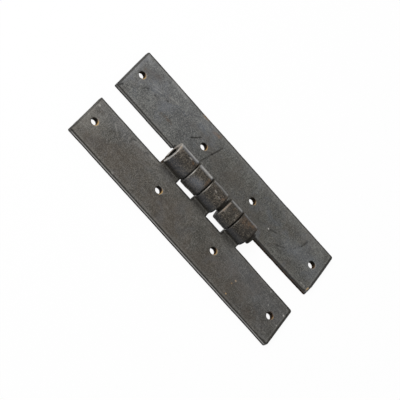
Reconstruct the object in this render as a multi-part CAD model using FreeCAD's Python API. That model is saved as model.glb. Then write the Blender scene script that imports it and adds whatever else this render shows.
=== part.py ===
import FreeCAD, Part
import math
import os

Vector = FreeCAD.Vector

# An H hinge lies open and flat on its back, in millimetres.
# +Z is the front face, +Y runs along the pin, +X points to the door leaf.
# The origin lies on the back plane, in the middle of the overall outline.

# Leaves: two lengths of forged flat bar, each a little uneven, with hand-cut ends
leaf_thickness = 5.0
upper_corner_radius = 0.8
lower_corner_radius = 1.9
arris_chamfer = 0.5

# Frame leaf: its pin-side edge stands back below the barrel
frame_leaf_length = 230.2
frame_leaf_width = 40.9
frame_leaf_edge = 9.8
frame_upper_skew = 0.4
frame_lower_skew = 1.9
frame_edge_setback = 0.9
frame_edge_draw = 1.4

# Door leaf: the wider bar, spread a little towards its lower end
door_leaf_length = 229.7
door_leaf_width = 43.6
door_leaf_edge = 8.8
door_lower_skew = 2.8
door_edge_draw = 1.1
door_end_spread = 0.8
door_spread_start = 55.0

# Barrel: each knuckle is a tab of its leaf, rolled over the pin
pin_diameter = 10.5
pin_clearance = 0.08
pin_height = 13.0
root_radius = 1.5
roll_end_angle = 288.0
knuckle_edge_chamfer = 0.5
worn_end_chamfer = 1.2
top_end_slant = 2.0
top_end_skew = 1.0
knuckle_lengths = (16.9, 13.9, 18.0, 16.0, 20.8)
knuckle_gaps = (1.0, 3.2, 1.0, 0.7)
notch_reach = 12.0
relief_reach = 10.6
relief_play = 0.6
root_lap = 3.0

# Pin: its lower end stands out of the barrel and its upper end sits inside
pin_stand_out = 3.6
pin_recess = 4.6
pin_nose_chamfer = 1.0
pin_tail_chamfer = 0.5

# The door leaf has slid down the pin by this much of its end play
door_leaf_drop = 0.75

# Screw holes: punched by hand, so each pair has its own place
hole_diameter = 6.0
hole_rim_chamfer = 0.5
frame_outer_holes = {"setback": 20.1, "upper_inset": 9.4, "lower_inset": 11.8}
frame_inner_holes = {"setback": 18.5, "upper_offset": 31.6, "lower_offset": 33.8}
door_outer_holes = {"setback": 23.8, "upper_inset": 9.4, "lower_inset": 12.8}
door_inner_holes = {"setback": 22.1, "upper_offset": 28.8, "lower_offset": 30.8}

# Places worked out from the sizes above
frame_outer_reach = frame_leaf_edge + frame_leaf_width
door_outer_reach = door_leaf_edge + door_leaf_width + door_end_spread
pin_x = (frame_outer_reach - door_outer_reach) / 2
barrel_length = sum(knuckle_lengths) + sum(knuckle_gaps)
barrel_middle_y = (frame_lower_skew - frame_upper_skew) / 2
barrel_lower_y = barrel_middle_y - barrel_length / 2
barrel_upper_y = barrel_lower_y + barrel_length
pin_radius = pin_diameter / 2
bore_radius = pin_radius + pin_clearance
barrel_radius = bore_radius + leaf_thickness
worn_knuckle = 1
top_knuckle = len(knuckle_lengths) - 1
overshoot = 1.0
tolerance = 0.01


def knuckle_span(index):
    """Lower and upper Y of a knuckle, counted from the lower end of the barrel."""
    lower = barrel_lower_y + sum(knuckle_lengths[:index]) + sum(knuckle_gaps[:index])
    return lower, lower + knuckle_lengths[index]


def frame_outline():
    """Corners of the frame leaf, from its upper pin-side corner down past the barrel and round."""
    inner = -frame_leaf_edge
    outer = inner - frame_leaf_width
    top = barrel_middle_y + frame_leaf_length / 2
    bottom = top - frame_leaf_length
    return [
        Vector(inner, top, 0),
        Vector(inner, barrel_lower_y, 0),
        Vector(inner - frame_edge_setback, barrel_lower_y, 0),
        Vector(inner - frame_edge_draw, bottom, 0),
        Vector(outer, bottom - frame_lower_skew, 0),
        Vector(outer, top + frame_upper_skew, 0),
    ]


def door_outline():
    """Corners of the door leaf, from its upper pin-side corner down past the barrel and round."""
    inner = door_leaf_edge
    outer = inner + door_leaf_width
    top = barrel_middle_y + door_leaf_length / 2 - door_leaf_drop
    bottom = top - door_leaf_length
    return [
        Vector(inner, top, 0),
        Vector(inner, barrel_lower_y, 0),
        Vector(inner + door_edge_draw, bottom, 0),
        Vector(outer + door_end_spread, bottom + door_lower_skew, 0),
        Vector(outer, barrel_middle_y - door_spread_start, 0),
        Vector(outer, top, 0),
    ]


def leaf_plate(corners):
    """The flat bar: upper corners nearly sharp, lower ones rounded, all arrises hammered back."""
    outline = Part.makePolygon(corners + [corners[0]])
    plate = Part.Face(outline).extrude(Vector(0, 0, leaf_thickness))
    upper = [edge for edge in plate.Edges if is_corner(edge, 1)]
    plate = plate.makeFillet(upper_corner_radius, upper)
    lower = [edge for edge in plate.Edges if is_corner(edge, -1)]
    plate = plate.makeFillet(lower_corner_radius, lower)
    rims = [edge for edge in plate.Edges if is_rim(edge)]
    return plate.makeChamfer(arris_chamfer, rims)


def is_corner(edge, end):
    """True for the upright edges beyond the barrel at the upper (1) or lower (-1) end of a leaf."""
    box = edge.BoundBox
    upright = box.ZLength > leaf_thickness / 2
    return upright and end * (box.Center.y - barrel_middle_y) > barrel_length


def is_rim(edge):
    """True for the edges that bound the front and back faces of a leaf."""
    return edge.BoundBox.ZLength < leaf_thickness / 2


def polar(side, centre_x, centre_z, radius, angle):
    """A point on a circle in the section plane, mirrored for the leaf on the other side."""
    turn = math.radians(angle)
    return Vector(side * (centre_x + radius * math.cos(turn)), 0, centre_z + radius * math.sin(turn))


def on_roll(side, radius, angle):
    """A point at this radius and angle in degrees about the pin's axis."""
    return polar(side, 0, pin_height, radius, angle)


def rolled_section(side, edge):
    """Section of a tab: it bends up from the leaf, wraps over the pin and comes back under it to its root."""
    bend_z = leaf_thickness + root_radius
    bend_drop = pin_height - bend_z
    bend_x = math.sqrt((barrel_radius + root_radius) ** 2 - bend_drop ** 2)
    start_angle = -math.degrees(math.atan2(bend_drop, bend_x))
    roll_middle = (start_angle + roll_end_angle) / 2
    bend_middle = (start_angle + 180 + 270) / 2
    root_x = edge + root_lap
    outer_start = on_roll(side, barrel_radius, start_angle)
    outer_middle = on_roll(side, barrel_radius, roll_middle)
    outer_end = on_roll(side, barrel_radius, roll_end_angle)
    inner_start = on_roll(side, bore_radius, start_angle)
    inner_middle = on_roll(side, bore_radius, roll_middle)
    inner_end = on_roll(side, bore_radius, roll_end_angle)
    front = Vector(side * root_x, 0, leaf_thickness)
    front_bend = Vector(side * bend_x, 0, leaf_thickness)
    front_middle = polar(side, bend_x, bend_z, root_radius, bend_middle)
    back = Vector(side * root_x, 0, 0)
    back_bend = Vector(side * bend_x, 0, 0)
    back_middle = polar(side, bend_x, bend_z, root_radius + leaf_thickness, bend_middle)
    edges = [
        Part.makeLine(front, front_bend),
        Part.Arc(front_bend, front_middle, outer_start).toShape(),
        Part.Arc(outer_start, outer_middle, outer_end).toShape(),
        Part.makeLine(outer_end, inner_end),
        Part.Arc(inner_end, inner_middle, inner_start).toShape(),
        Part.Arc(inner_start, back_middle, back_bend).toShape(),
        Part.makeLine(back_bend, back),
        Part.makeLine(back, front),
    ]
    return Part.Face(Part.Wire(edges))


def knuckle(side, edge, index):
    """One rolled tab: its outer edges are hammered back, and the top one ends askew."""
    lower, upper = knuckle_span(index)
    spare = top_end_slant if index == top_knuckle else 0
    section = rolled_section(side, edge)
    section.translate(Vector(0, lower, 0))
    tab = section.extrude(Vector(0, upper - lower + spare, 0))
    tab = tab.makeChamfer(knuckle_edge_chamfer, roll_rims(tab, lower))
    if index == top_knuckle:
        return tab.cut(slanted_block(upper))
    chamfer = worn_end_chamfer if index == worn_knuckle else knuckle_edge_chamfer
    return tab.makeChamfer(chamfer, roll_rims(tab, upper))


def roll_rims(tab, end_y):
    """The outer arc of a knuckle at one of its ends."""
    flat = [edge for edge in tab.Edges if abs(edge.BoundBox.Center.y - end_y) < tolerance]
    arcs = [edge for edge in flat if isinstance(edge.Curve, Part.Circle)]
    return [edge for edge in arcs if abs(edge.Curve.Radius - barrel_radius) < tolerance]


def slanted_block(end_y):
    """A block past a knuckle's upper end, tilted: the back and the door's side of the roll stay longer."""
    reach = 4 * barrel_radius
    tilt = math.degrees(math.atan2(top_end_slant, 2 * barrel_radius))
    skew = math.degrees(math.atan2(top_end_skew, 2 * barrel_radius))
    block = Part.makeBox(2 * reach, reach, 2 * reach, Vector(-reach, 0, -reach))
    block.rotate(Vector(0, 0, 0), Vector(1, 0, 0), tilt)
    block.rotate(Vector(0, 0, 0), Vector(0, 0, 1), skew)
    block.translate(Vector(0, end_y - top_end_skew / 2, pin_height))
    return block


def notch(side, edge, reach, lower, upper):
    """Room in a leaf's edge for a knuckle of the other leaf, out to this distance from the pin's axis."""
    inner = side * (edge - overshoot)
    depth = reach - (edge - overshoot)
    corner = Vector(min(inner, side * reach), lower, -overshoot)
    return Part.makeBox(depth, upper - lower, leaf_thickness + 2 * overshoot, corner)


def end_reliefs(side, edge, own_knuckles):
    """Shallow cuts beside the end knuckles of the other leaf, so that this one can swing back past them."""
    reliefs = []
    if own_knuckles[0] > 0:
        start = barrel_lower_y - relief_play
        reliefs.append(notch(side, edge, relief_reach, start, knuckle_span(own_knuckles[0])[0]))
    if own_knuckles[-1] < top_knuckle:
        end = barrel_upper_y + relief_play
        reliefs.append(notch(side, edge, relief_reach, knuckle_span(own_knuckles[-1])[1], end))
    return reliefs


def screw_hole(x, y):
    """A plain hole with a small worn bevel at the front."""
    radius = hole_diameter / 2
    shank = Part.makeCylinder(radius, leaf_thickness + 2 * overshoot, Vector(x, y, -overshoot))
    bevel = hole_rim_chamfer + overshoot
    rim = Part.makeCone(radius, radius + bevel, bevel, Vector(x, y, leaf_thickness - hole_rim_chamfer))
    return shank.fuse(rim)


def screw_holes(side, edge, corners, outer, inner):
    """The four holes of a leaf: one pair near the ends and one pair beside the barrel."""
    outer_x = side * (edge + outer["setback"])
    inner_x = side * (edge + inner["setback"])
    pin_side = [corner.y for corner in corners if abs(corner.x) < outer_x * side]
    upper_end_y = max(pin_side)
    lower_end_y = min(pin_side)
    return [
        screw_hole(outer_x, upper_end_y - outer["upper_inset"]),
        screw_hole(inner_x, barrel_middle_y + inner["upper_offset"]),
        screw_hole(inner_x, barrel_middle_y - inner["lower_offset"]),
        screw_hole(outer_x, lower_end_y + outer["lower_inset"]),
    ]


def leaf(side, edge, corners, own_knuckles, outer, inner):
    """A whole leaf: plate, notches between its own knuckles, rolled tabs and holes."""
    body = leaf_plate(corners)
    for below, above in zip(own_knuckles, own_knuckles[1:]):
        body = body.cut(notch(side, edge, notch_reach, knuckle_span(below)[1], knuckle_span(above)[0]))
    for relief in end_reliefs(side, edge, own_knuckles):
        body = body.cut(relief)
    for index in own_knuckles:
        body = body.fuse(knuckle(side, edge, index))
    for hole in screw_holes(side, edge, corners, outer, inner):
        body = body.cut(hole)
    return body.removeSplitter()


def hinge_pin():
    """A round bar: hammered nose below the barrel, tail just inside the top knuckle."""
    start = barrel_lower_y - pin_stand_out
    length = barrel_upper_y - pin_recess - start
    bar = Part.makeCylinder(pin_radius, length, Vector(0, start, pin_height), Vector(0, 1, 0))
    nose = [edge for edge in bar.Edges if edge.BoundBox.YMax < start + overshoot]
    bar = bar.makeChamfer(pin_nose_chamfer, nose)
    tail = [edge for edge in bar.Edges if edge.BoundBox.YMin > start + length - overshoot]
    return bar.makeChamfer(pin_tail_chamfer, tail)


os.makedirs("parts", exist_ok=True)
nodes = {
    "frame_leaf": leaf(-1, frame_leaf_edge, frame_outline(), (0, 2, 4), frame_outer_holes, frame_inner_holes),
    "door_leaf": leaf(1, door_leaf_edge, door_outline(), (1, 3), door_outer_holes, door_inner_holes),
    "hinge_pin": hinge_pin(),
}
for name, shape in nodes.items():
    shape.translate(Vector(pin_x, 0, 0))
    shape.exportStep("parts/" + name + ".step")
    print(name, "valid", shape.isValid(), "solids", len(shape.Solids), "volume", round(shape.Volume, 1))
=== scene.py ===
import math
import bmesh
import bpy
import numpy
from mathutils import Matrix, Vector


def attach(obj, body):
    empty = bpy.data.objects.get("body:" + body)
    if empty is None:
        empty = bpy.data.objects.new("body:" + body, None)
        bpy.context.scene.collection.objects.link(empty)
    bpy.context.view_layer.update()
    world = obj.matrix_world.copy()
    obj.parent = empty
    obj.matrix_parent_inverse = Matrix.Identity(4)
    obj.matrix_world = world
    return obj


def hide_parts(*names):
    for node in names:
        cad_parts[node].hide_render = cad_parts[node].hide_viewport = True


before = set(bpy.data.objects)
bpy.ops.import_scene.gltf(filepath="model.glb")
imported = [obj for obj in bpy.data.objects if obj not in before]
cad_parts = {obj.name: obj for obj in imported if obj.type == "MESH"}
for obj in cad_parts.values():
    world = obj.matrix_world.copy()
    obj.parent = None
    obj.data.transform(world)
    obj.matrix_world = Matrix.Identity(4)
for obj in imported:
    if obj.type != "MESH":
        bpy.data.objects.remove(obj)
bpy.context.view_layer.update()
mm = 0.001
print("frame loaded:", sorted(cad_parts))

# the camera looks at the hinge from its frame leaf's side, with the barrel running down to the right
cameraView = {
    "place": (-0.85571, 0.25254, 1.32928),
    "looksAt": (-0.004065, 0.001532, 0.0),
    "upward": (0.62526, 0.73521, 0.26176),
    "lens": 180.25,
    "sensor": 36.0,
}

# everything below is in mm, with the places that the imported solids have
pinAxis = {"x": -1.25, "z": 13.0}
barThickness = 5.0


def deselectAll():
    bpy.ops.object.select_all(action="DESELECT")


def activate(piece):
    deselectAll()
    piece.select_set(True)
    bpy.context.view_layer.objects.active = piece


def settle(piece):
    # the place goes into the mesh, so that patterns read the hinge's own millimetres
    activate(piece)
    bpy.ops.object.transform_apply(location=True, rotation=True, scale=True)


def choose(kind, test):
    # in edit mode: selects the faces, edges or points that pass a test
    bpy.ops.mesh.select_mode(type=kind)
    bpy.ops.mesh.select_all(action="DESELECT")
    shape = bmesh.from_edit_mesh(bpy.context.edit_object.data)
    shape.normal_update()
    for part in {"FACE": shape.faces, "EDGE": shape.edges, "VERT": shape.verts}[kind]:
        part.select_set(bool(test(part)))
    shape.select_flush_mode()
    bmesh.update_edit_mesh(bpy.context.edit_object.data)


def middle(edge):
    return (edge.verts[0].co + edge.verts[1].co) / 2


def rise(edge):
    return abs(edge.verts[0].co.z - edge.verts[1].co.z)


def fromAxis(point):
    # distance from the pin's axis, in mm
    return math.hypot(point.x / mm - pinAxis["x"], point.z / mm - pinAxis["z"])


def addModifier(piece, kind, **settings):
    activate(piece)
    step = piece.modifiers.new(kind.lower(), kind)
    for name, value in settings.items():
        setattr(step, name, value)
    bpy.ops.object.modifier_apply(modifier=step.name)


def cutWith(piece, cutter):
    settle(cutter)
    addModifier(piece, "BOOLEAN", operation="DIFFERENCE", object=cutter, solver="EXACT")
    bpy.data.objects.remove(cutter)


def addBlock(corner, opposite):
    # a block between two corners
    deselectAll()
    bpy.ops.mesh.primitive_cube_add(
        size=1, location=[(a + b) / 2 * mm for a, b in zip(corner, opposite)],
        scale=[abs(b - a) * mm for a, b in zip(corner, opposite)])
    block = bpy.context.object
    settle(block)
    return block


# the leaves: flat bar, drawn and cut by hand
plateEdges = {"upperRadius": 0.8, "lowerRadius": 1.9, "arris": 0.55, "endsBeyond": 110.0, "grip": 0.3}


def addPlate(name, leaf):
    plate = addBlock((leaf["inner"], leaf["bottom"], 0), (leaf["outer"], leaf["top"], barThickness))
    plate.name = name
    bpy.ops.object.mode_set(mode="EDIT")
    # the edges are bent a little, and the ends aren't quite square
    for y in leaf["bends"]:
        bpy.ops.mesh.select_all(action="SELECT")
        bpy.ops.mesh.bisect(plane_co=(0, y * mm, 0), plane_no=(0, 1, 0))
    for x, low, high, shift in leaf["pulls"]:
        choose("VERT", lambda v: abs(v.co.x - x * mm) < plateEdges["grip"] * mm
               and low * mm < v.co.y < high * mm)
        bpy.ops.transform.translate(value=(shift[0] * mm, shift[1] * mm, 0))
    for end, radius in ((1, plateEdges["upperRadius"]), (-1, plateEdges["lowerRadius"])):
        choose("EDGE", lambda e: rise(e) > mm and end * middle(e).y > plateEdges["endsBeyond"] * mm)
        bpy.ops.mesh.bevel(offset=radius * mm, segments=4, affect="EDGES")
    # every edge of the front and of the back is a soft arris
    choose("EDGE", lambda e: rise(e) < 0.1 * mm and len({round(f.normal.z) for f in e.link_faces}) == 2)
    bpy.ops.mesh.bevel(offset=plateEdges["arris"] * mm, segments=2, affect="EDGES")
    for place, slope in leaf["chips"]:
        bpy.ops.mesh.select_all(action="SELECT")
        bpy.ops.mesh.bisect(plane_co=[v * mm for v in place], plane_no=slope, use_fill=True, clear_outer=True)
    bpy.ops.object.mode_set(mode="OBJECT")
    return plate


overcut = 1.5


def addNotch(plate, side, reach, lower, upper):
    # room in the leaf's edge for a knuckle of the other leaf
    cutWith(plate, addBlock((pinAxis["x"], lower, -overcut),
                            (pinAxis["x"] + side * reach, upper, barThickness + overcut)))


punchSize = {"sides": 40, "radius": 3.0, "length": 12.0, "bevelFrom": 4.5, "flare": 1.5}


def addPunch():
    # straight, but for the small worn bevel that it leaves at the front face
    deselectAll()
    bpy.ops.mesh.primitive_cylinder_add(vertices=punchSize["sides"], radius=punchSize["radius"] * mm,
                                        depth=punchSize["length"] * mm, location=(0, 0, 0))
    punch = bpy.context.object
    settle(punch)
    bpy.ops.object.mode_set(mode="EDIT")
    bpy.ops.mesh.select_all(action="SELECT")
    bpy.ops.mesh.bisect(plane_co=(0, 0, punchSize["bevelFrom"] * mm), plane_no=(0, 0, 1))
    choose("VERT", lambda v: v.co.z > barThickness * mm)
    bpy.ops.transform.resize(value=(punchSize["flare"], punchSize["flare"], 1))
    bpy.ops.object.mode_set(mode="OBJECT")
    return punch


def addHoles(plate, holes):
    punch = addPunch()
    for x, y in holes:
        activate(punch)
        bpy.ops.object.duplicate()
        copy = bpy.context.object
        copy.location = (x * mm, y * mm, 0)
        cutWith(plate, copy)
    bpy.data.objects.remove(punch)


# the barrel: tabs of both leaves, rolled over the pin
rollSize = {
    "outerRadius": 10.33, "rootRadius": 1.5, "bendX": 9.88,
    "startAngle": -33.3, "endAngle": 288.0, "bendSteps": 7, "rollSteps": 36,
    "lap": 3.0, "rim": 0.5, "rimPlay": 0.8, "skinBeyond": 9.0,
}


def addKnuckle(leaf, knuckle):
    # a tab of the leaf, bent up at its root and then rolled over the pin
    side, roll = leaf["side"], rollSize
    onAxis = (pinAxis["x"] * mm, 0, pinAxis["z"] * mm)
    lower, upper = knuckle["span"]
    spare = knuckle.get("slant", 0)
    rootX = pinAxis["x"] + side * (abs(leaf["inner"] - pinAxis["x"]) + roll["lap"])
    bendX, bendZ = pinAxis["x"] + side * roll["bendX"], barThickness + roll["rootRadius"]
    tab = addBlock((rootX, lower, 0), (bendX, upper + spare, barThickness))
    bpy.ops.object.mode_set(mode="EDIT")
    choose("FACE", lambda f: f.normal.x * side < -0.9)
    bpy.ops.mesh.spin(steps=roll["bendSteps"], angle=math.radians(90 - roll["startAngle"]),
                      center=(bendX * mm, 0, bendZ * mm), axis=(0, -side, 0))
    bpy.ops.mesh.spin(steps=roll["rollSteps"], angle=math.radians(roll["endAngle"] - roll["startAngle"]),
                      center=onAxis, axis=(0, side, 0))
    bpy.ops.mesh.select_all(action="SELECT")
    bpy.ops.mesh.remove_doubles(threshold=0.01 * mm)
    bpy.ops.mesh.normals_make_consistent(inside=False)
    for end, full in zip((lower, upper), knuckle.get("full", ())):
        # the door's rolls are a little fuller on the frame's side
        choose("VERT", lambda v: v.co.x < pinAxis["x"] * mm and abs(v.co.y - end * mm) < mm
               and fromAxis(v.co) > roll["skinBeyond"])
        bpy.ops.transform.resize(value=(full, 1, 1), center_override=onAxis)
    rims = [(lower, roll["rim"])]
    if spare:
        # the top end is cut askew: its front and its frame side are the shorter ones
        tilt = math.atan2(spare, 2 * roll["outerRadius"])
        skew = math.atan2(knuckle["skew"], 2 * roll["outerRadius"])
        bpy.ops.mesh.bisect(
            plane_co=(pinAxis["x"] * mm, (upper - knuckle["skew"] / 2) * mm, pinAxis["z"] * mm),
            plane_no=(-math.cos(tilt) * math.sin(skew), math.cos(tilt) * math.cos(skew), math.sin(tilt)),
            use_fill=True, clear_outer=True)
    else:
        rims.append((upper, knuckle.get("upperRim", roll["rim"])))
    for end, width in rims:
        # the outer rim only, which lies further out on a fuller roll
        choose("EDGE", lambda e: abs(middle(e).y - end * mm) < 0.01 * mm
               and abs(fromAxis(middle(e)) - roll["outerRadius"] - roll["rimPlay"]) < 1)
        bpy.ops.mesh.bevel(offset=width * mm, segments=2, affect="EDGES")
    bpy.ops.object.mode_set(mode="OBJECT")
    return tab


# the pin: a round bar, its lower end hammered over, its upper end inside the top knuckle
pinBar = {"sides": 64, "radius": 5.25, "lower": -48.6, "upper": 41.9, "nose": 1.0, "tail": 0.5}


def addPin(name, bar):
    deselectAll()
    bpy.ops.mesh.primitive_cylinder_add(
        vertices=bar["sides"], radius=bar["radius"] * mm, depth=(bar["upper"] - bar["lower"]) * mm,
        location=(pinAxis["x"] * mm, (bar["upper"] + bar["lower"]) / 2 * mm, pinAxis["z"] * mm),
        rotation=(math.radians(90), 0, 0))
    pin = bpy.context.object
    pin.name = name
    settle(pin)
    bpy.ops.object.mode_set(mode="EDIT")
    for end, width in (("lower", bar["nose"]), ("upper", bar["tail"])):
        choose("EDGE", lambda e: all(abs(v.co.y - bar[end] * mm) < 0.01 * mm for v in e.verts))
        bpy.ops.mesh.bevel(offset=width * mm, segments=4, affect="EDGES")
    bpy.ops.object.mode_set(mode="OBJECT")
    return pin


# what the hammer left: marks on all faces but the backs and the bores, which stay true
forging = {"voxel": 0.6, "backBelow": 0.25, "boreWithin": 6.2, "rollsAbove": 5.6, "barrel": (-46.5, 49.5)}


def forge(piece, hammer):
    # one skin over the joined parts, and then the marks
    activate(piece)
    piece.data.remesh_voxel_size = forging["voxel"] * mm
    piece.data.use_remesh_fix_poles = False
    bpy.ops.object.voxel_remesh()
    groups = {name: piece.vertex_groups.new(name=name) for name in ("worked", "rolled")}
    low, high = forging["barrel"]
    for point in piece.data.vertices:
        inBarrel = low * mm < point.co.y < high * mm
        if point.co.z < forging["backBelow"] * mm or (inBarrel and fromAxis(point.co) < forging["boreWithin"]):
            continue
        where = "rolled" if inBarrel and point.co.z > forging["rollsAbove"] * mm else "worked"
        groups[where].add([point.index], 1.0, "REPLACE")
    for mark in hammer:
        pattern = bpy.data.textures.new(mark["name"], mark["kind"])
        for name, value in mark["pattern"].items():
            setattr(pattern, name, value)
        addModifier(piece, "DISPLACE", texture=pattern, texture_coords="LOCAL", direction="NORMAL",
                    mid_level=0.5, strength=mark["depth"] * mm, vertex_group=mark["where"])
    bpy.ops.object.shade_smooth()


hammerMarks = [
    {"name": "waves", "kind": "CLOUDS", "where": "worked", "depth": 0.5,
     "pattern": {"noise_scale": 0.026, "noise_depth": 1}},
    {"name": "pits", "kind": "CLOUDS", "where": "worked", "depth": 0.14,
     "pattern": {"noise_scale": 0.0035, "noise_depth": 2}},
    {"name": "blows", "kind": "CLOUDS", "where": "rolled", "depth": 0.5,
     "pattern": {"noise_scale": 0.007, "noise_depth": 1}},
    {"name": "scale", "kind": "CLOUDS", "where": "rolled", "depth": 0.18,
     "pattern": {"noise_scale": 0.002, "noise_depth": 2}},
]

frameLeaf = {
    "side": -1, "inner": -11.05, "outer": -51.95, "top": 115.85, "bottom": -114.35,
    "bends": [-44.9, -45.1],
    "pulls": [(-11.05, -120, -45.05, (-0.9, 0)), (-11.95, -120, -110, (-0.5, 0)),
              (-51.95, 110, 120, (0, 0.4)), (-51.95, -120, -110, (0, -1.9))],
    "chips": [],
    "knuckles": [{"span": (-45.0, -28.1)}, {"span": (-10.0, 8.0)},
                 {"span": (25.7, 46.5), "slant": 0.7, "skew": 1.0}],
    "notches": [(12.0, -28.1, -10.0), (12.0, 8.0, 25.7)],
    "holes": [(-31.15, 106.45), (-29.55, 32.35), (-29.55, -33.05), (-31.15, -102.55)],
}
doorLeaf = {
    "side": 1, "inner": 7.55, "outer": 51.15, "top": 114.85, "bottom": -114.85,
    "bends": [-45.0, -54.25],
    "pulls": [(7.55, -120, -110, (1.1, 0)), (51.15, -120, -110, (0.8, 2.8))],
    "chips": [((16.0, -113.5, 5.0), (-0.257, -0.784, 0.563)), ((49.95, 114.85, 2.5), (0.707, 0.707, 0.0))],
    "knuckles": [{"span": (-27.1, -13.2), "upperRim": 1.2, "full": (1.06, 1.08)},
                 {"span": (9.0, 25.0), "full": (1.06, 1.15)}],
    "notches": [(12.0, -13.2, 9.0), (10.6, 25.0, 47.1), (10.6, -45.6, -27.1)],
    "holes": [(31.35, 105.45), (29.65, 29.55), (29.65, -30.05), (31.35, -102.05)],
}

# the outlines of the bars, for what gathers and wears along their arrises
frameLeaf["rims"] = [
    [(-11.05, 46.5), (-11.05, 115.85), (-51.95, 116.25), (-51.95, -116.25), (-12.45, -114.35),
     (-11.95, -45.1)],
    [(-11.05, 25.7), (-13.25, 25.7), (-13.25, 8.0), (-11.05, 8.0)],
    [(-11.05, -10.0), (-13.25, -10.0), (-13.25, -28.1), (-11.05, -28.1)],
]
doorLeaf["rims"] = [
    [(9.35, 25.0), (9.35, 47.1), (7.55, 47.1), (7.55, 114.85), (51.15, 114.85), (51.15, -54.25),
     (51.95, -112.05), (8.65, -114.85), (7.55, -45.6), (9.35, -45.6), (9.35, -27.1)],
    [(10.75, 9.0), (10.75, -13.2)],
]

# what use has left on the fronts: places in mm, tone darker or paler, rust, blue, oil, and depth of the dent
frameLeaf["marks"] = [
    {"from": (-18.1, 112.7), "to": (-17.7, 112.4), "reach": 1.5, "tone": 0.45},
    {"from": (-21.8, 110.0), "to": (-20.6, 108.4), "reach": 4.5, "tone": -0.12, "rust": 0.25},
    {"from": (-19.2, 92.7), "to": (-23.6, 86.4), "reach": 1.5, "tone": 0.2},
    {"from": (-31.2, 80.3), "to": (-36.4, 76.6), "reach": 2.6, "tone": -0.16, "oil": 0.5},
    {"from": (-16.6, 75.4), "to": (-14.6, 73.6), "reach": 1.1, "tone": -0.6, "depth": 0.1},
    {"from": (-15.2, 59.4), "to": (-13.8, 58.6), "reach": 1.1, "tone": -0.6, "depth": 0.1},
    {"from": (-16.2, 75.6), "to": (-14.9, 62.0), "reach": 1.0, "tone": 0.14, "depth": 0.08},
    {"from": (-14.9, 57.0), "to": (-14.4, 48.0), "reach": 1.0, "tone": 0.14, "depth": 0.08},
    {"from": (-51.0, 68.6), "to": (-51.1, 67.8), "reach": 1.2, "tone": 0.3, "rust": 0.4},
    {"from": (-47.9, -63.2), "to": (-47.9, -63.6), "reach": 1.0, "tone": 0.5, "rust": 1.3},
    {"from": (-48.2, -61.2), "to": (-48.2, -61.5), "reach": 0.8, "tone": 0.3, "rust": 0.7},
    {"from": (-37.6, -61.1), "to": (-37.4, -61.8), "reach": 1.0, "tone": 0.1, "rust": 0.8},
    {"from": (-33.3, -62.6), "to": (-33.2, -63.1), "reach": 1.0, "tone": 0.8, "rust": 0.9},
    {"from": (-15.1, -90.2), "to": (-15.2, -90.7), "reach": 1.0, "tone": 0.5, "cool": 0.2},
    {"from": (-25.2, -95.8), "to": (-25.3, -96.2), "reach": 0.9, "tone": 0.5},
    {"from": (-21.5, -111.0), "to": (-21.6, -111.4), "reach": 0.9, "tone": 1.3},
    {"from": (-18.8, -112.8), "to": (-18.8, -113.3), "reach": 1.3, "tone": -0.9, "depth": 0.3},
    {"from": (-32.7, -111.9), "to": (-32.8, -112.2), "reach": 0.9, "tone": 0.7},
    # its far side has a pale steel-blue streak along the middle of its height, a painted highlight where the
    # side is lit
    {"from": (-51.95, 113.0, 3.1), "to": (-51.95, -114.0, 3.1), "reach": 1.1, "tone": 0.8, "cool": 0.3},
    {"from": (-40.0, 40.0), "to": (-33.0, 14.0), "reach": 9.0, "tone": -0.1, "rust": 0.12},
    {"from": (-24.0, 86.0), "to": (-34.0, 70.0), "reach": 8.0, "tone": -0.08, "rust": 0.1},
    {"from": (-45.0, -86.0), "to": (-28.0, -104.0), "reach": 8.0, "tone": -0.08, "rust": 0.1},
]
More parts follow.
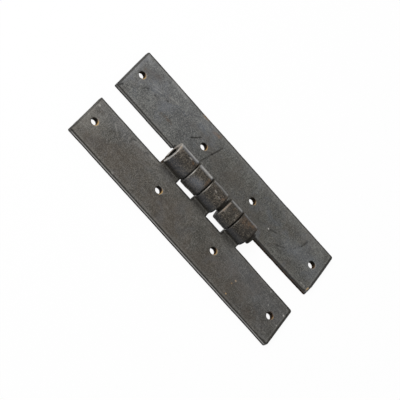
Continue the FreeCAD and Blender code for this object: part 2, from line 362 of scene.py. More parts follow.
doorLeaf["marks"] = [
    {"from": (26.2, 42.1), "to": (33.3, 36.3), "reach": 1.2, "tone": -0.85, "depth": 0.16},
    {"from": (17.8, 23.6), "to": (30.3, 20.3), "reach": 1.1, "tone": -0.55, "depth": 0.12},
    {"from": (30.3, 20.3), "to": (41.7, 17.3), "reach": 1.2, "tone": -0.8, "depth": 0.22},
    {"from": (21.7, -42.8), "to": (23.1, -50.1), "reach": 1.1, "tone": -0.4, "depth": 0.1},
    {"from": (23.2, -54.9), "to": (23.2, -55.1), "reach": 1.0, "tone": 1.8},
    {"from": (23.8, -56.6), "to": (26.5, -62.7), "reach": 1.1, "tone": -0.7, "depth": 0.14},
    {"from": (18.4, -68.8), "to": (22.7, -75.9), "reach": 1.2, "tone": -0.75, "depth": 0.16},
    {"from": (29.1, -81.5), "to": (36.2, -85.7), "reach": 1.1, "tone": -0.45, "depth": 0.1},
    {"from": (36.2, -85.7), "to": (43.1, -86.9), "reach": 1.2, "tone": -0.75, "depth": 0.16},
    {"from": (22.4, 98.3), "to": (24.2, 96.6), "reach": 1.5, "tone": -0.7, "depth": 0.16},
    {"from": (25.6, 96.4), "to": (26.9, 93.9), "reach": 1.3, "tone": -0.7, "depth": 0.16},
    {"from": (22.6, 95.6), "to": (25.4, 93.2), "reach": 1.0, "tone": -0.5, "depth": 0.1},
    {"from": (30.6, 92.0), "to": (33.4, 84.0), "reach": 0.9, "tone": 0.2, "depth": 0.06},
    {"from": (33.0, 93.4), "to": (36.2, 82.6), "reach": 0.9, "tone": 0.18, "depth": 0.06},
    {"from": (36.4, 78.0), "to": (38.4, 68.6), "reach": 0.9, "tone": 0.18, "depth": 0.06},
    {"from": (13.2, 88.7), "to": (11.6, 86.2), "reach": 2.0, "tone": -0.25, "rust": 0.2},
    {"from": (17.1, 103.2), "to": (13.4, 100.8), "reach": 1.8, "tone": -0.25, "rust": 0.2},
    {"from": (27.2, 86.7), "to": (27.3, 86.1), "reach": 1.1, "tone": -0.9},
    {"from": (32.4, 76.2), "to": (32.4, 75.6), "reach": 1.1, "tone": -0.9},
    {"from": (20.4, 73.2), "to": (20.9, 62.0), "reach": 3.2, "tone": -0.28, "rust": 0.28},
    {"from": (37.0, 106.0), "to": (42.0, 94.0), "reach": 6.0, "tone": -0.14, "rust": 0.12, "oil": 1.0},
    {"from": (36.6, 47.0), "to": (37.0, 31.0), "reach": 5.0, "tone": -0.12, "oil": 0.9},
    # a painted highlight along the upper end
    {"from": (10.0, 112.6), "to": (46.0, 112.6), "reach": 3.5, "tone": 0.02, "cool": 0.12},
    {"from": (9.2, 113.0), "to": (12.0, 111.6), "reach": 1.8, "tone": -0.9, "depth": 0.4},
    {"from": (47.6, 112.0), "to": (45.0, 106.5), "reach": 2.6, "tone": 0.12, "cool": 0.1},
    {"from": (49.5, 84.0), "to": (48.2, 67.5), "reach": 3.0, "tone": 0.17, "cool": 0.1},
    {"from": (46.2, 31.6), "to": (46.8, 25.2), "reach": 4.2, "tone": -0.04, "rust": 0.45},
    {"from": (50.0, 42.0), "to": (49.6, 47.0), "reach": 2.2, "tone": 0.05, "rust": 0.58},
    {"from": (34.0, 60.0), "to": (30.0, 44.0), "reach": 9.0, "tone": -0.05, "rust": 0.08},
    {"from": (20.0, -60.0), "to": (34.0, -66.0), "reach": 8.0, "tone": -0.08, "rust": 0.05},
    {"from": (11.9, -105.0), "to": (11.9, -105.5), "reach": 1.2, "tone": 0.5},
    {"from": (12.1, -108.0), "to": (12.1, -108.6), "reach": 1.2, "tone": 0.5, "rust": 0.3},
    {"from": (11.2, -112.4), "to": (13.4, -112.6), "reach": 1.4, "tone": 0.9, "rust": 1.6},
    {"from": (15.5, -112.6, 3.5), "to": (24.0, -112.9, 3.0), "reach": 1.6, "tone": -0.3, "rust": 0.6},
    # steel blue towards its low end
    {"from": (26.0, -76.0), "to": (34.0, -104.0), "reach": 12.0, "tone": 0.0, "cool": 0.12},
    # its pin side has gone brown and dull below the barrel
    {"from": (7.4, -47.0, 2.2), "to": (8.4, -114.0, 2.2), "reach": 3.6, "tone": -0.6, "rust": 0.3},
    {"from": (7.55, 112.0, 3.1), "to": (7.55, 49.0, 3.1), "reach": 1.3, "tone": 0.4, "rust": 0.22},
]

# each hole's rim has rust and bare metal on its lower side: strength of both, in the order of the holes
frameLeaf["rimRust"] = [1.0, 0.7, 0.65, 0.3]
doorLeaf["rimRust"] = [0.6, 0.6, 0.4, 0.35]

# the rolls: wear, rust and a painted highlight on the upper rim, rust on the crest, the painted highlight band
# on the far side and the painted shade with a painted bluish sheen on the frame's side, both as turn, width and
# strength; "end" is the top's slant and skew
frameLeaf["rolls"] = [
    {"span": (-45.0, -28.1), "rim": 0.45, "rimRust": 0.1, "rust": 0.16,
     "sheenBand": (50, 20, 0.42), "shadeAndSheen": (180, 40, 0.22)},
    {"span": (-10.0, 8.0), "rim": 0.5, "rimRust": 0.3, "rust": 0.12,
     "sheenBand": (50, 20, 0.4), "shadeAndSheen": (174, 44, 0.2)},
    {"span": (25.7, 46.5), "rim": 0.0, "rimRust": 0.0, "rust": 0.14,
     "sheenBand": (49, 19, 0.75), "shadeAndSheen": (160, 48, 0.17), "end": (0.7, 1.0)},
]
doorLeaf["rolls"] = [
    {"span": (-27.1, -13.2), "rim": 0.75, "rimRust": 0.5, "rust": 0.12,
     "sheenBand": (53, 20, 0.5), "shadeAndSheen": (180, 40, 0.15)},
    {"span": (9.0, 25.0), "rim": 0.6, "rimRust": 0.1, "rust": 0.1,
     "sheenBand": (54, 25, 0.9), "shadeAndSheen": (158, 46, 0.15)},
]

# marks on the rolls, painted highlights and sheen among them, and broad changes of tone
frameLeaf["rollMarks"] = [
    # broad: as painted light, this leaf is paler at its upper end and beside the barrel, where it lifts the
    # barrel's shadow, and darker at its low end
    {"from": (-45.0, 102.0), "to": (-40.0, -70.0), "reach": 28.0, "oil": 1.0},
    {"from": (-16.0, 108.0), "to": (-15.0, 60.0), "reach": 13.0, "tone": 0.03, "cool": 0.07},
    {"from": (-44.0, -70.0), "to": (-44.0, -112.0), "reach": 20.0, "tone": -0.12},
    {"from": (-31.0, 118.0), "to": (-31.0, 110.0), "reach": 24.0, "tone": 0.13},
    {"from": (-22.0, -52.0), "to": (-24.0, -108.0), "reach": 22.0, "tone": -0.03, "cool": 0.1},
    {"from": (-4.0, -29.0, 23.0), "to": (-4.0, -44.0, 23.0), "reach": 15.0, "tone": -0.22},
    {"from": (-13.0, 42.0), "to": (-13.0, -46.0), "reach": 16.0, "tone": 0.06},
    {"from": (-22.0, 44.0), "to": (-22.0, -46.0), "reach": 16.0, "tone": 0.03},
    {"from": (0.0, 45.6, 22.8), "to": (6.0, 46.4, 19.8), "reach": 2.6, "tone": 0.25, "rust": 0.15},
    {"from": (0.6, 34.6, 23.2), "to": (0.4, 32.0, 23.3), "reach": 0.9, "tone": 0.6, "rust": 0.2},
    {"from": (0.2, 31.0, 23.3), "to": (-1.0, 29.5, 23.3), "reach": 2.0, "tone": -0.3, "rust": 0.35},
    {"from": (-2.6, 45.2, 23.2), "to": (4.0, 45.0, 21.9), "reach": 1.9, "tone": 0.26, "rust": 0.22},
    # painted highlights on the flank away from the frame
    {"from": (5.2, 38.5, 21.1), "to": (5.2, 31.5, 21.1), "reach": 1.3, "tone": 0.3},
    {"from": (3.6, 43.5, 22.2), "to": (4.0, 28.6, 22.0), "reach": 3.8, "tone": 0.07, "cool": 0.22,
     "rust": -0.16},
    {"from": (-2.0, 37.0, 23.3), "to": (-1.0, 35.0, 23.3), "reach": 0.8, "tone": -0.9},
    {"from": (-4.6, 33.2, 22.8), "to": (-4.0, 32.2, 22.9), "reach": 0.8, "tone": 0.35, "rust": 0.2},
    {"from": (-7.0, 38.0, 21.6), "to": (-3.0, 31.0, 23.1), "reach": 5.0, "tone": -0.26},
    {"from": (-2.2, 2.0, 23.3), "to": (-2.6, 0.6, 23.2), "reach": 0.9, "tone": 0.4, "rust": 0.25},
    {"from": (-4.0, -3.8, 23.0), "to": (-4.2, -4.6, 22.9), "reach": 0.9, "tone": 0.4, "rust": 0.2},
    {"from": (-3.4, -7.4, 23.1), "to": (0.6, -8.4, 23.3), "reach": 2.5, "tone": -0.04, "rust": 0.32},
    {"from": (-1.0, -31.0, 23.3), "to": (3.6, -42.5, 22.3), "reach": 5.5, "tone": 0.09, "rust": 0.25},
    {"from": (-6.0, -33.0, 22.2), "to": (-5.0, -42.0, 22.7), "reach": 4.0, "tone": -0.2},
]
doorLeaf["rollMarks"] = [
    # broad: paler above, as painted light, and darker beside the barrel
    {"from": (32.0, 114.0), "to": (32.0, 48.0), "reach": 44.0, "tone": 0.02, "cool": 0.11},
    {"from": (32.0, 116.0), "to": (32.0, 108.0), "reach": 24.0, "tone": 0.02},
    {"from": (45.0, 113.0), "to": (46.0, 44.0), "reach": 11.0, "tone": 0.015, "cool": 0.04},
    {"from": (47.5, 40.0), "to": (47.5, -100.0), "reach": 9.0, "tone": 0.07, "cool": 0.04},
    {"from": (30.0, 28.0), "to": (24.0, -56.0), "reach": 22.0, "oil": 0.3},
    {"from": (30.0, -94.0), "to": (30.0, -112.0), "reach": 26.0, "tone": 0.01, "cool": 0.05},
    {"from": (22.0, 30.0), "to": (22.0, -44.0), "reach": 30.0, "tone": -0.19},
    {"from": (-4.0, -15.0, 23.0), "to": (-4.0, -26.0, 23.0), "reach": 14.0, "tone": -0.08},
    # a painted bluish sheen on the frame's side of the knuckle
    {"from": (-8.6, 19.5, 20.2), "to": (-7.6, 14.0, 21.2), "reach": 5.5, "tone": -0.03, "cool": 0.24},
    {"from": (-5.6, 11.4, 22.4), "to": (0.5, 10.6, 23.2), "reach": 2.4, "tone": -0.1, "rust": 0.3},
    {"from": (-7.6, -15.0, 21.2), "to": (1.0, -14.2, 23.1), "reach": 1.6, "tone": 0.3, "rust": 0.3},
    {"from": (-3.0, -23.8, 23.2), "to": (-2.6, -24.6, 23.2), "reach": 0.75, "tone": 0.45, "rust": 0.25},
    {"from": (-6.4, -25.0, 21.9), "to": (-6.6, -25.6, 21.8), "reach": 0.75, "tone": 0.4, "rust": 0.25},
    # painted highlights along the flanks away from the frame
    {"from": (4.2, 21.5, 21.8), "to": (4.0, 18.0, 21.9), "reach": 1.2, "tone": 0.4},
    {"from": (4.0, 14.0, 21.9), "to": (3.8, 10.4, 22.0), "reach": 1.3, "tone": 0.45},
    {"from": (4.6, -16.0, 21.5), "to": (4.4, -18.4, 21.7), "reach": 1.1, "tone": 0.35},
    {"from": (4.4, -22.0, 21.7), "to": (4.4, -25.2, 21.7), "reach": 1.1, "tone": 0.35},
    {"from": (-4.0, -19.0, 23.0), "to": (-6.0, -22.0, 22.2), "reach": 3.2, "tone": -0.2},
]


# where wax, dirt, wear and painted light and shade sit: places and reaches in mm, angles about the pin in
# degrees
waxLine = {"wider": 0.7, "within": 6.0, "lowEnds": 0.6, "lowEndsFrom": -109.5}
sideShade = {"within": 0.7, "underTop": 0.3, "tone": 0.25, "foot": 1.1, "footHeight": 1.0, "footReach": 1.4}
rollSkin = {"beyond": 9.2, "within": 12.5, "above": 5.4, "before": 0.6, "past": 1.8, "blend": (5.2, 2.5)}
rollWear = {"front": (122, 62), "crest": (88, 62), "bandSheen": 0.6, "sheenFromEnd": 0.8, "shade": 0.15,
            "rim": (0.3, 1.0), "rimRust": (0.4, 1.4), "lowerEndShade": (0.7, 1.7)}
topEnd = {"reach": 0.9, "wallBeyond": 5.5, "near": (40, 216), "ring": (9.9, 2.4), "worn": (0.25, 0.75),
          "farWorn": 0.8, "rust": 0.16, "farRust": 0.38, "rootShade": (-142, -98), "boreWithin": 5.9,
          "boreDepth": 9, "boreTan": (20, 42), "tanTone": 0.3, "tanRust": 0.35}
holeWear = {"wall": 3.5, "wallBelow": 4.7, "wallRust": (0.25, 0.6), "dirtAndShade": (0.5, 4.4), "rust": (3.5, 1.1),
            "bare": (3.6, 0.8), "bareShare": 0.6, "front": 4.2, "rustFront": 3.9}
arrisBelow, noArris = 0.4, 20.0  # above the bar there are only rolls, far from any arris
black = -1.0  # the darkest tone


def distanceTo(points, start, end):
    start, along = numpy.array(start), numpy.array(end) - numpy.array(start)
    share = numpy.clip((points - start) @ along / max(along @ along, 0.000001), 0, 1)
    return numpy.linalg.norm(points - start - share[:, None] * along, axis=1)


def fade(distance, reach):
    near = numpy.clip(1 - distance / reach, 0, 1)
    return near * near * (3 - 2 * near)


def about(values, spot):
    # strongest at the middle of the spot, gone at its reach
    centre, reach = spot
    return fade(abs(values - centre), reach)


def readPoints(shape, kind):
    values = numpy.empty(len(shape.vertices) * 3)
    shape.vertices.foreach_get(kind, values)
    return values.reshape(-1, 3)


def readPlaces(shape):
    # each point's place in mm, and its distance and angle about the pin
    spots = readPoints(shape, "co") / mm
    across, up = spots[:, 0] - pinAxis["x"], spots[:, 2] - pinAxis["z"]
    return {"spots": spots, "flat": spots[:, :2], "along": spots[:, 1], "height": spots[:, 2], "across": across,
            "up": up, "reach": numpy.hypot(across, up), "turn": numpy.degrees(numpy.arctan2(up, across))}


def findEdges(leaf, at):
    # distances to the bar's outline and to its nearest arris
    flat, height = at["flat"], at["height"]
    edge = numpy.full(len(flat), numpy.inf)
    for rim in leaf["rims"]:
        for start, end in zip(rim, rim[1:]):
            edge = numpy.minimum(edge, distanceTo(flat, start, end))
    # the line of wax is narrow along the side towards the camera, wider elsewhere, widest at the lower ends
    fromSide = flat[:, 0] - min(leaf["inner"], leaf["outer"])
    edge = numpy.maximum(edge - waxLine["wider"] * (1 - fade(fromSide, waxLine["within"])), 0)
    edge = numpy.maximum(edge - waxLine["lowEnds"] * (at["along"] < waxLine["lowEndsFrom"]), 0)
    arris = numpy.minimum(numpy.hypot(edge, barThickness - height), numpy.hypot(edge, height))
    arris[height > barThickness + arrisBelow] = noArris
    return edge, arris


def paintSides(paint, at, edge):
    # painted shade: the bar's sides are darker and duller, and darker still along their foot, where they meet
    # the floor
    height = at["height"]
    sides = (edge < sideShade["within"]) & (height < barThickness - sideShade["underTop"])
    foot = fade(numpy.maximum(height - sideShade["footHeight"], 0), sideShade["footReach"])
    paint["tone"] -= (sideShade["tone"] + sideShade["foot"] * foot) * sides


def paintRoll(paint, at, roll):
    along, height, reach, turn = at["along"], at["height"], at["reach"], at["turn"]
    lower, upper = roll["span"]
    inside = ((along > lower - rollSkin["before"]) & (along < upper + rollSkin["past"])
              & (reach < rollSkin["within"]))
    start, over = rollSkin["blend"]
    paint["barrel"][inside] = numpy.clip((height[inside] - start) / over, 0, 1)
    onSkin = (inside & (reach > rollSkin["beyond"]) & (height > rollSkin["above"])).astype(float)
    front = about(turn, rollWear["front"])
    # the upper rim is worn and tan, with a painted highlight on its bevel, and the lower one is darkened as
    # painted shade of the gap beside it
    inset, width = rollWear["rim"]
    paint["tone"] += onSkin * roll["rim"] * about(along, (upper - inset, width)) * front
    inset, width = rollWear["rimRust"]
    paint["rust"] += onSkin * roll["rimRust"] * about(along, (upper - inset, width)) * front
    strength, width = rollWear["lowerEndShade"]
    paint["tone"] -= onSkin * strength * about(along, (lower, width))
    # a painted highlight band on the far side
    middleTurn, width, strength = roll["sheenBand"]
    inBand = (along < upper - rollWear["sheenFromEnd"]) * (along > lower + rollWear["sheenFromEnd"])
    paleHighlight = onSkin * strength * about(turn, (middleTurn, width)) * inBand
    paint["tone"] += rollWear["bandSheen"] * paleHighlight
    paint["cool"] += rollWear["bandSheen"] * paleHighlight
    # painted shade and a painted bluish sheen on the frame's side of a roll
    middleTurn, width, strength = roll["shadeAndSheen"]
    shaded = onSkin * about(turn % 360, (middleTurn, width))
    paint["cool"] += strength * shaded
    paint["tone"] -= rollWear["shade"] * shaded
    paint["rust"] += onSkin * roll["rust"] * about(turn, rollWear["crest"])
    if "end" in roll:
        paintTopEnd(paint, at, roll, inside)


def paintTopEnd(paint, at, roll, inside):
    # the top end is bare and tan with a painted highlight on its near outer edge, its bore is painted black as
    # shade but for a tan patch, and its root gets painted black shade for the gap
    tone, rust, along, reach, turn = paint["tone"], paint["rust"], at["along"], at["reach"], at["turn"]
    slant, skew = roll["end"]
    upper = roll["span"][1]
    plane = upper - skew / 2 + (at["across"] * skew - at["up"] * slant) / (2 * rollSize["outerRadius"])
    cut = about(along, (plane, topEnd["reach"])) * (reach > topEnd["wallBeyond"]) * inside
    first, last = topEnd["near"]
    near = (turn % 360 > first) & (turn % 360 < last)
    least, more = topEnd["worn"]
    tone += numpy.where(near, least + more * about(reach, topEnd["ring"]), topEnd["farWorn"]) * cut
    rust += numpy.where(near, topEnd["rust"], topEnd["farRust"]) * cut
    first, last = topEnd["rootShade"]
    tone[(cut > 0.1) & (turn > first) & (turn < last)] = black
    bore = inside & (reach < topEnd["boreWithin"]) & (along > upper - topEnd["boreDepth"])
    middleTurn, width = topEnd["boreTan"]
    tone[bore] = numpy.where(abs(turn[bore] - middleTurn) < width, topEnd["tanTone"], black)
    rust[bore & (tone > 0)] = topEnd["tanRust"]


def paintHole(paint, at, place, strength):
    # painted shade above the hole and on its walls, which are painted black with some rust, and a rusty, bare
    # rim on the lower side
    tone, rust, height = paint["tone"], paint["rust"], at["height"]
    across, up = at["flat"][:, 0] - place[0], at["flat"][:, 1] - place[1]
    ring = numpy.hypot(across, up)
    lowSide = numpy.clip(-up / numpy.maximum(ring, 0.1), 0, 1)
    dirtAndShade, width = holeWear["dirtAndShade"]
    tone -= dirtAndShade * fade(ring, width) * (height > holeWear["front"]) * (1 - lowSide)
    tone[(ring < holeWear["wall"]) & (height < holeWear["wallBelow"])] = black
    wallRust, least = holeWear["wallRust"]
    rust += wallRust * (ring < holeWear["wall"]) * (least + lowSide)
    rust += strength * about(ring, holeWear["rust"]) * lowSide * (height > holeWear["rustFront"])
    bare = strength * about(ring, holeWear["bare"]) * lowSide * (height > holeWear["front"])
    tone += holeWear["bareShare"] * bare


def paintPlaces(piece, leaf):
    # own attributes for the materials: distance to the arrises, tone, rust, blue, oil and barrel
    shape = piece.data
    at = readPlaces(shape)
    paint = {name: numpy.zeros(len(shape.vertices)) for name in ("tone", "rust", "cool", "oil", "barrel")}
    edge, arris = findEdges(leaf, at)
    paintSides(paint, at, edge)
    for roll in leaf["rolls"]:
        paintRoll(paint, at, roll)
    for place, strength in zip(leaf["holes"], leaf["rimRust"]):
        paintHole(paint, at, place, strength)
    # the marks, with the scratches sunk in
    spots, out = at["spots"], readPoints(shape, "normal")
    for mark in leaf["marks"] + leaf["rollMarks"]:
        # a mark on a leaf's front gives only x and y
        start, end = [(place + (barThickness,))[:3] for place in (mark["from"], mark["to"])]
        near = fade(distanceTo(spots, start, end), mark["reach"])
        for name in ("tone", "rust", "cool", "oil"):
            paint[name] += mark.get(name, 0) * near
        spots -= out * (mark.get("depth", 0) * near)[:, None]
    shape.vertices.foreach_set("co", (spots * mm).ravel())
    for name, values in {"arris": arris, **paint}.items():
        shape.attributes.new(name, "FLOAT", "POINT").data.foreach_set("value", numpy.clip(values, -1, 30))
    shape.update()


def addLeaf(name, leaf):
    plate = addPlate(name, leaf)
    for reach, lower, upper in leaf["notches"]:
        addNotch(plate, leaf["side"], reach, lower, upper)
    addHoles(plate, leaf["holes"])
    tabs = [addKnuckle(leaf, knuckle) for knuckle in leaf["knuckles"]]
    activate(plate)
    for tab in tabs:
        tab.select_set(True)
    bpy.ops.object.join()
    forge(plate, hammerMarks)
    paintPlaces(plate, leaf)
    print(name, "has", sum(len(face.vertices) - 2 for face in plate.data.polygons), "triangles")
    return plate


pieces = {
    "frameLeafForged": {"shape": addLeaf("frameLeafForged", frameLeaf), "rides": "frame",
                        "replaces": "frame_leaf", "slot": "frame_leaf_iron"},
    "doorLeafForged": {"shape": addLeaf("doorLeafForged", doorLeaf), "rides": "door",
                       "replaces": "door_leaf", "slot": "door_leaf_iron"},
    "hingePinForged": {"shape": addPin("hingePinForged", pinBar), "rides": "frame",
                       "replaces": "hinge_pin", "slot": "pin_iron"},
}


def linearColour(hexColour):
    channels = [int(hexColour[i:i + 2], 16) / 255 for i in (0, 2, 4)]
    return tuple(c / 12.92 if c <= 0.04045 else ((c + 0.055) / 1.055) ** 2.4 for c in channels) + (1.0,)


def addNode(tree, kind, links=None, values=None, ramp=None, **settings):
    # adds a node, sets its properties, its sockets and its colour stops, and links earlier nodes to it;
    # of a node that is named whole the first output is linked
    node = tree.nodes.new(kind)
    for name, value in settings.items():
        setattr(node, name, value)
    for socket, value in (values or {}).items():
        node.inputs[socket].default_value = value
    for socket, source in (links or {}).items():
        tree.links.new(getattr(source, "outputs", [source])[0], node.inputs[socket])
    if ramp:
        stops = node.color_ramp.elements
        while len(stops) < len(ramp):
            stops.new(1.0)
        for stop, (place, colour) in zip(stops, ramp.items()):
            stop.position, stop.color = place, linearColour(colour)
    return node


def newMaterial(name):
    material = bpy.data.materials.new(name)
    material.use_nodes = True
    material.node_tree.nodes.clear()
    return material


# dark scale of the forge, rubbed with oil and wax: grey where it is thin, brown where the oil has dried
ironLooks = {
    "frameLeafForged": {
        "name": "forgeBlackWaxedWroughtIronFrame", "seed": 3.0,
        "scale": {0.15: "393732", 0.5: "52504b", 0.85: "706e69"},
        "roll": {0.2: "1d1b18", 0.5: "37332d", 0.9: "625c52"},
        "oil": "544b42", "oilShare": 0.42, "bloomShare": 0.15, "wax": "26241f",
    },
    "doorLeafForged": {
        "name": "forgeBlackWaxedWroughtIronDoor", "seed": 41.0,
        "scale": {0.15: "3c3b38", 0.5: "585854", 0.85: "797974"},
        "roll": {0.2: "22201b", 0.5: "3d3932", 0.9: "676259"},
        "oil": "57514a", "oilShare": 0.5, "bloomShare": 0.35, "wax": "262422",
    },
}
# the same on both leaves: a blue bloom, pale scratches, tan scuffs, black pits, a painted highlight along the
# arrises, and bare bright iron; the bare iron also carries the painted highlights, and the near black for dirt
# also the painted shade
ironWear = {
    "bloom": "676c75", "hair": "9d9b96", "scuff": "93887a", "pit": "1d1a17", "cool": "8b919d",
    "paleHighlight": "8f8d88", "bare": "bcb9b3", "dirtAndShade": "14120f",
}
# brown under the wax, orange where it is bare
rustGrades = {0.0: "4a3626", 0.5: "6b4f34", 1.0: "b39358"}
# from the bottom layer to the top one
ironLayers = ("oil", "bloom", "hair", "roll", "scuff", "pit", "cool", "paleHighlight", "wax", "bare", "dirtAndShade", "rust")
# too fine to show at its real size: speckle, scuffs and tooth are drawn coarser, about 1 mm wide
ironPatterns = {
    "patch": {"Scale": 0.11, "Detail": 4.0, "Roughness": 0.6},  # 9 mm, a hammer's blow
    "grain": {"Scale": 0.42, "Detail": 4.0, "Roughness": 0.65},  # 2.4 mm, the scale's own grain
    "speckle": {"Scale": 1.15, "Detail": 3.0, "Roughness": 0.75},  # 0.9 mm
    "film": {"Scale": 0.045, "Detail": 6.0, "Roughness": 0.65, "Distortion": 0.6},  # 22 mm, dried oil
    "bloom": {"Scale": 0.075, "Detail": 5.0, "Roughness": 0.6, "Distortion": 0.4},  # 13 mm, cooling colours
    "scuff": {"Scale": 0.95, "Detail": 4.0, "Roughness": 0.75, "Distortion": 0.6},  # 1 mm
    "flake": {"Scale": 0.33, "Detail": 5.0, "Roughness": 0.75},  # 3 mm, rust
    "tooth": {"Scale": 1.3, "Detail": 4.0},  # 0.8 mm
}


def forgedIron(look):
    material = newMaterial(look["name"])
    tree = material.node_tree
    where = addNode(tree, "ShaderNodeTexCoord")
    place = addNode(tree, "ShaderNodeMapping", links={"Vector": where.outputs["Object"]},
                    values={"Scale": (1000, 1000, 1000), "Location": (look["seed"], 0, 0)})
    noise = {name: addNode(tree, "ShaderNodeTexNoise", links={"Vector": place}, values=values)
             for name, values in ironPatterns.items()}
    painted = {name: addNode(tree, "ShaderNodeAttribute", attribute_name=name).outputs["Fac"]
               for name in ("arris", "tone", "rust", "cool", "oil", "barrel")}
    # patches and grain; handling has evened the speckle beside the barrel and below it
    blend = addNode(tree, "ShaderNodeMath", operation="MULTIPLY_ADD", links={0: noise["patch"]},
                    values={1: 0.7, 2: 0.25})
    blend = addNode(tree, "ShaderNodeMath", operation="MULTIPLY_ADD", links={0: noise["grain"], 2: blend},
                    values={1: 0.7})
    along = addNode(tree, "ShaderNodeSeparateXYZ", links={"Vector": place}).outputs["Y"]
    strength = addNode(tree, "ShaderNodeMapRange", interpolation_type="SMOOTHSTEP", links={"Value": along},
                       values={"From Min": 15.0, "From Max": 60.0, "To Min": 2.7, "To Max": 4.3})
    speckle = addNode(tree, "ShaderNodeMath", operation="SUBTRACT", links={0: noise["speckle"]},
                      values={1: 0.5})
    blend = addNode(tree, "ShaderNodeMath", operation="MULTIPLY_ADD", links={0: speckle, 1: strength, 2: blend})
    level = addNode(tree, "ShaderNodeMapRange", links={"Value": blend},
                    values={"From Min": 0.48, "From Max": 1.52})
    # a browner film of dried oil, and hair scratches along the bar, about 1 by 11 mm
    film = addNode(tree, "ShaderNodeMath", operation="MULTIPLY_ADD",
                   links={0: painted["oil"], 2: noise["film"]}, values={1: 0.16})
    drawn = addNode(tree, "ShaderNodeMapping", links={"Vector": place},
                    values={"Scale": (1.0, 0.09, 1.0), "Rotation": (0, 0, 0.12)})
    hair = addNode(tree, "ShaderNodeTexNoise", links={"Vector": drawn},
                   values={"Scale": 1.0, "Detail": 3.0, "Roughness": 0.7, "Distortion": 0.5})
    # the lines along the arrises are ragged, with a painted highlight just inside them; rust grows from the
    # marks and from stray specks
    ragged = addNode(tree, "ShaderNodeMath", operation="ADD", links={0: noise["grain"], 1: painted["arris"]})
    rusty = addNode(tree, "ShaderNodeMath", operation="MULTIPLY_ADD",
                    links={0: painted["rust"], 2: noise["flake"]}, values={1: 0.75})
    # each layer's share: what it follows, where it starts, where it is full, and how much that is
    layers = {
        "oil": (film, 0.5, 0.68, look["oilShare"]),
        "bloom": (noise["bloom"], 0.5, 0.68, look["bloomShare"]),
        "hair": (hair, 0.57, 0.75, 0.35),
        "scuff": (noise["scuff"], 0.54, 0.72, 0.95),
        "pit": (noise["scuff"], 0.47, 0.33, 0.95),
        # a painted highlight where the arris chamfer would catch the light
        "paleHighlight": (ragged, 3.2, 2.0, 0.16),
        "wax": (ragged, 1.75, 0.9, 0.85),
        "bare": (painted["tone"], 0.0, 1.0, 1.0),
        "dirtAndShade": (painted["tone"], 0.0, -1.0, 1.0),
        "rust": (rusty, 0.6, 1.15, 0.9),
    }
    share = {name: addNode(tree, "ShaderNodeMapRange", links={"Value": source},
                           interpolation_type="SMOOTHSTEP" if source is ragged else "LINEAR",
                           values={"From Min": start, "From Max": full, "To Max": most})
             for name, (source, start, full, most) in layers.items()}
    share["cool"], share["roll"] = painted["cool"], painted["barrel"]
    # scuffs and pits are thick on the knuckles, thin on the flats
    wear = addNode(tree, "ShaderNodeMapRange", links={"Value": painted["barrel"]}, values={"To Min": 0.35})
    for name in ("scuff", "pit"):
        share[name] = addNode(tree, "ShaderNodeMath", operation="MULTIPLY", links={0: share[name], 1: wear})
    # the rolled knuckles are handled and oiled more, so darker and browner; they and the rust have grades
    graded = {
        "roll": addNode(tree, "ShaderNodeValToRGB", links={"Fac": level}, ramp=look["roll"]),
        "rust": addNode(tree, "ShaderNodeValToRGB", links={"Fac": share["rust"]}, ramp=rustGrades),
    }
    even = {**ironWear, "oil": look["oil"], "wax": look["wax"]}
    colour = addNode(tree, "ShaderNodeValToRGB", links={"Fac": level}, ramp=look["scale"])
    for name in ironLayers:
        links, values = {0: share[name], 6: colour}, {}
        if name in graded:
            links[7] = graded[name]
        else:
            values[7] = linearColour(even[name])
        colour = addNode(tree, "ShaderNodeMix", data_type="RGBA", links=links, values=values).outputs[2]
    # wax keeps the scale half glossy; rust, dirt and painted shade are dull
    gloss = addNode(tree, "ShaderNodeMapRange", links={"Value": noise["patch"]},
                    values={"From Min": 0.3, "From Max": 0.7, "To Min": 0.42, "To Max": 0.56})
    matt = addNode(tree, "ShaderNodeMath", operation="MAXIMUM", links={0: share["rust"], 1: share["dirtAndShade"]})
    dull = addNode(tree, "ShaderNodeMath", operation="MULTIPLY_ADD", links={0: matt, 2: gloss}, values={1: 0.4})
    sheen = addNode(tree, "ShaderNodeMapRange", links={"Value": share["dirtAndShade"]},
                    values={"From Max": 0.9, "To Min": 0.5, "To Max": 0.1})
    metal = addNode(tree, "ShaderNodeMapRange", links={"Value": matt},
                    values={"From Max": 0.7, "To Min": 0.6, "To Max": 0.0})
    relief = addNode(tree, "ShaderNodeBump", links={"Height": noise["tooth"]},
                     values={"Strength": 0.7, "Distance": 0.00025})
    shader = addNode(tree, "ShaderNodeBsdfPrincipled",
                     links={"Base Color": colour, "Roughness": dull, "Metallic": metal,
                            "Specular IOR Level": sheen, "Normal": relief})
    addNode(tree, "ShaderNodeOutputMaterial", links={"Surface": shader})
    return material


def oilyPin():
    # the bar is nearly black: oil and filings on bright-worn iron, in films of 2 mm
    material = newMaterial("oilBlackenedPinIron")
    tree = material.node_tree
    where = addNode(tree, "ShaderNodeTexCoord")
    place = addNode(tree, "ShaderNodeMapping", links={"Vector": where.outputs["Object"]},
                    values={"Scale": (1000, 1000, 1000)})
    film = addNode(tree, "ShaderNodeTexNoise", links={"Vector": place}, values={"Scale": 0.5, "Detail": 4.0})
    colour = addNode(tree, "ShaderNodeValToRGB", links={"Fac": film},
                     ramp={0.3: "15130f", 0.6: "2b2721", 0.8: "4a4238"})
    shader = addNode(tree, "ShaderNodeBsdfPrincipled", links={"Base Color": colour},
                     values={"Metallic": 0.5, "Roughness": 0.5})
    addNode(tree, "ShaderNodeOutputMaterial", links={"Surface": shader})
    return material


ironMaterials = {name: forgedIron(look) for name, look in ironLooks.items()}
ironMaterials["hingePinForged"] = oilyPin()
for name, piece in pieces.items():
    piece["shape"].data.materials.clear()
    piece["shape"].data.materials.append(ironMaterials[name])
    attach(piece["shape"], piece["rides"])
    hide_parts(piece["replaces"])
print("materials on", len(pieces), "pieces")

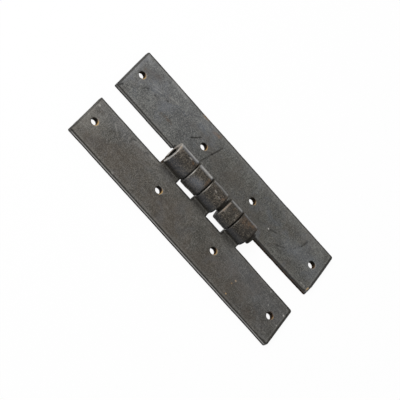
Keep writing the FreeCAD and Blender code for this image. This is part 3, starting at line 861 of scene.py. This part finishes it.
# a pale floor that the camera sees nearly white, a white sky and one soft lamp
studio = {
    "floorSize": 3.0, "floorDrop": 0.02, "paper": (0.8, 0.8, 0.8, 1), "whiteShare": 0.94,
    "sky": 0.55, "lamp": (0.02, 0.6, 1.0), "lampSize": 0.9, "lampPower": 10.5,
}
deselectAll()
bpy.ops.mesh.primitive_plane_add(size=studio["floorSize"], location=(0, 0, -studio["floorDrop"] * mm))
floor = bpy.context.object
floor.name = "floor"
floorPaint = newMaterial("palePaperFloor")
tree = floorPaint.node_tree
paper = addNode(tree, "ShaderNodeBsdfDiffuse", values={"Color": studio["paper"]})
glow = addNode(tree, "ShaderNodeEmission", values={"Strength": 1.0})
rays = addNode(tree, "ShaderNodeLightPath")
seen = rays.outputs["Is Camera Ray"]
for kind in ("Is Glossy Ray", "Is Transmission Ray"):
    seen = addNode(tree, "ShaderNodeMath", operation="MAXIMUM", links={0: seen, 1: rays.outputs[kind]})
share = addNode(tree, "ShaderNodeMath", operation="MULTIPLY", links={0: seen}, values={1: studio["whiteShare"]})
both = addNode(tree, "ShaderNodeMixShader", links={0: share, 1: paper, 2: glow})
addNode(tree, "ShaderNodeOutputMaterial", links={"Surface": both})
floor.data.materials.append(floorPaint)

world = bpy.data.worlds.new("studio")
bpy.context.scene.world = world
world.use_nodes = True
world.node_tree.nodes["Background"].inputs["Color"].default_value = (1, 1, 1, 1)
world.node_tree.nodes["Background"].inputs["Strength"].default_value = studio["sky"]

bpy.ops.object.light_add(type="AREA", location=studio["lamp"])
lamp = bpy.context.object
lamp.data.shape = "DISK"
lamp.data.size = studio["lampSize"]
lamp.data.energy = studio["lampPower"]
lamp.rotation_euler = Vector(studio["lamp"]).to_track_quat("Z", "Y").to_euler()

bpy.ops.object.camera_add(location=cameraView["place"])
camera = bpy.context.object
backward = (Vector(cameraView["place"]) - Vector(cameraView["looksAt"])).normalized()
sideways = Vector(cameraView["upward"]).cross(backward).normalized()
upward = backward.cross(sideways)
camera.rotation_euler = Matrix((sideways, upward, backward)).transposed().to_euler()
camera.data.lens = cameraView["lens"]
camera.data.sensor_width = cameraView["sensor"]
bpy.context.scene.camera = camera
bpy.context.scene.view_settings.view_transform = "Standard"
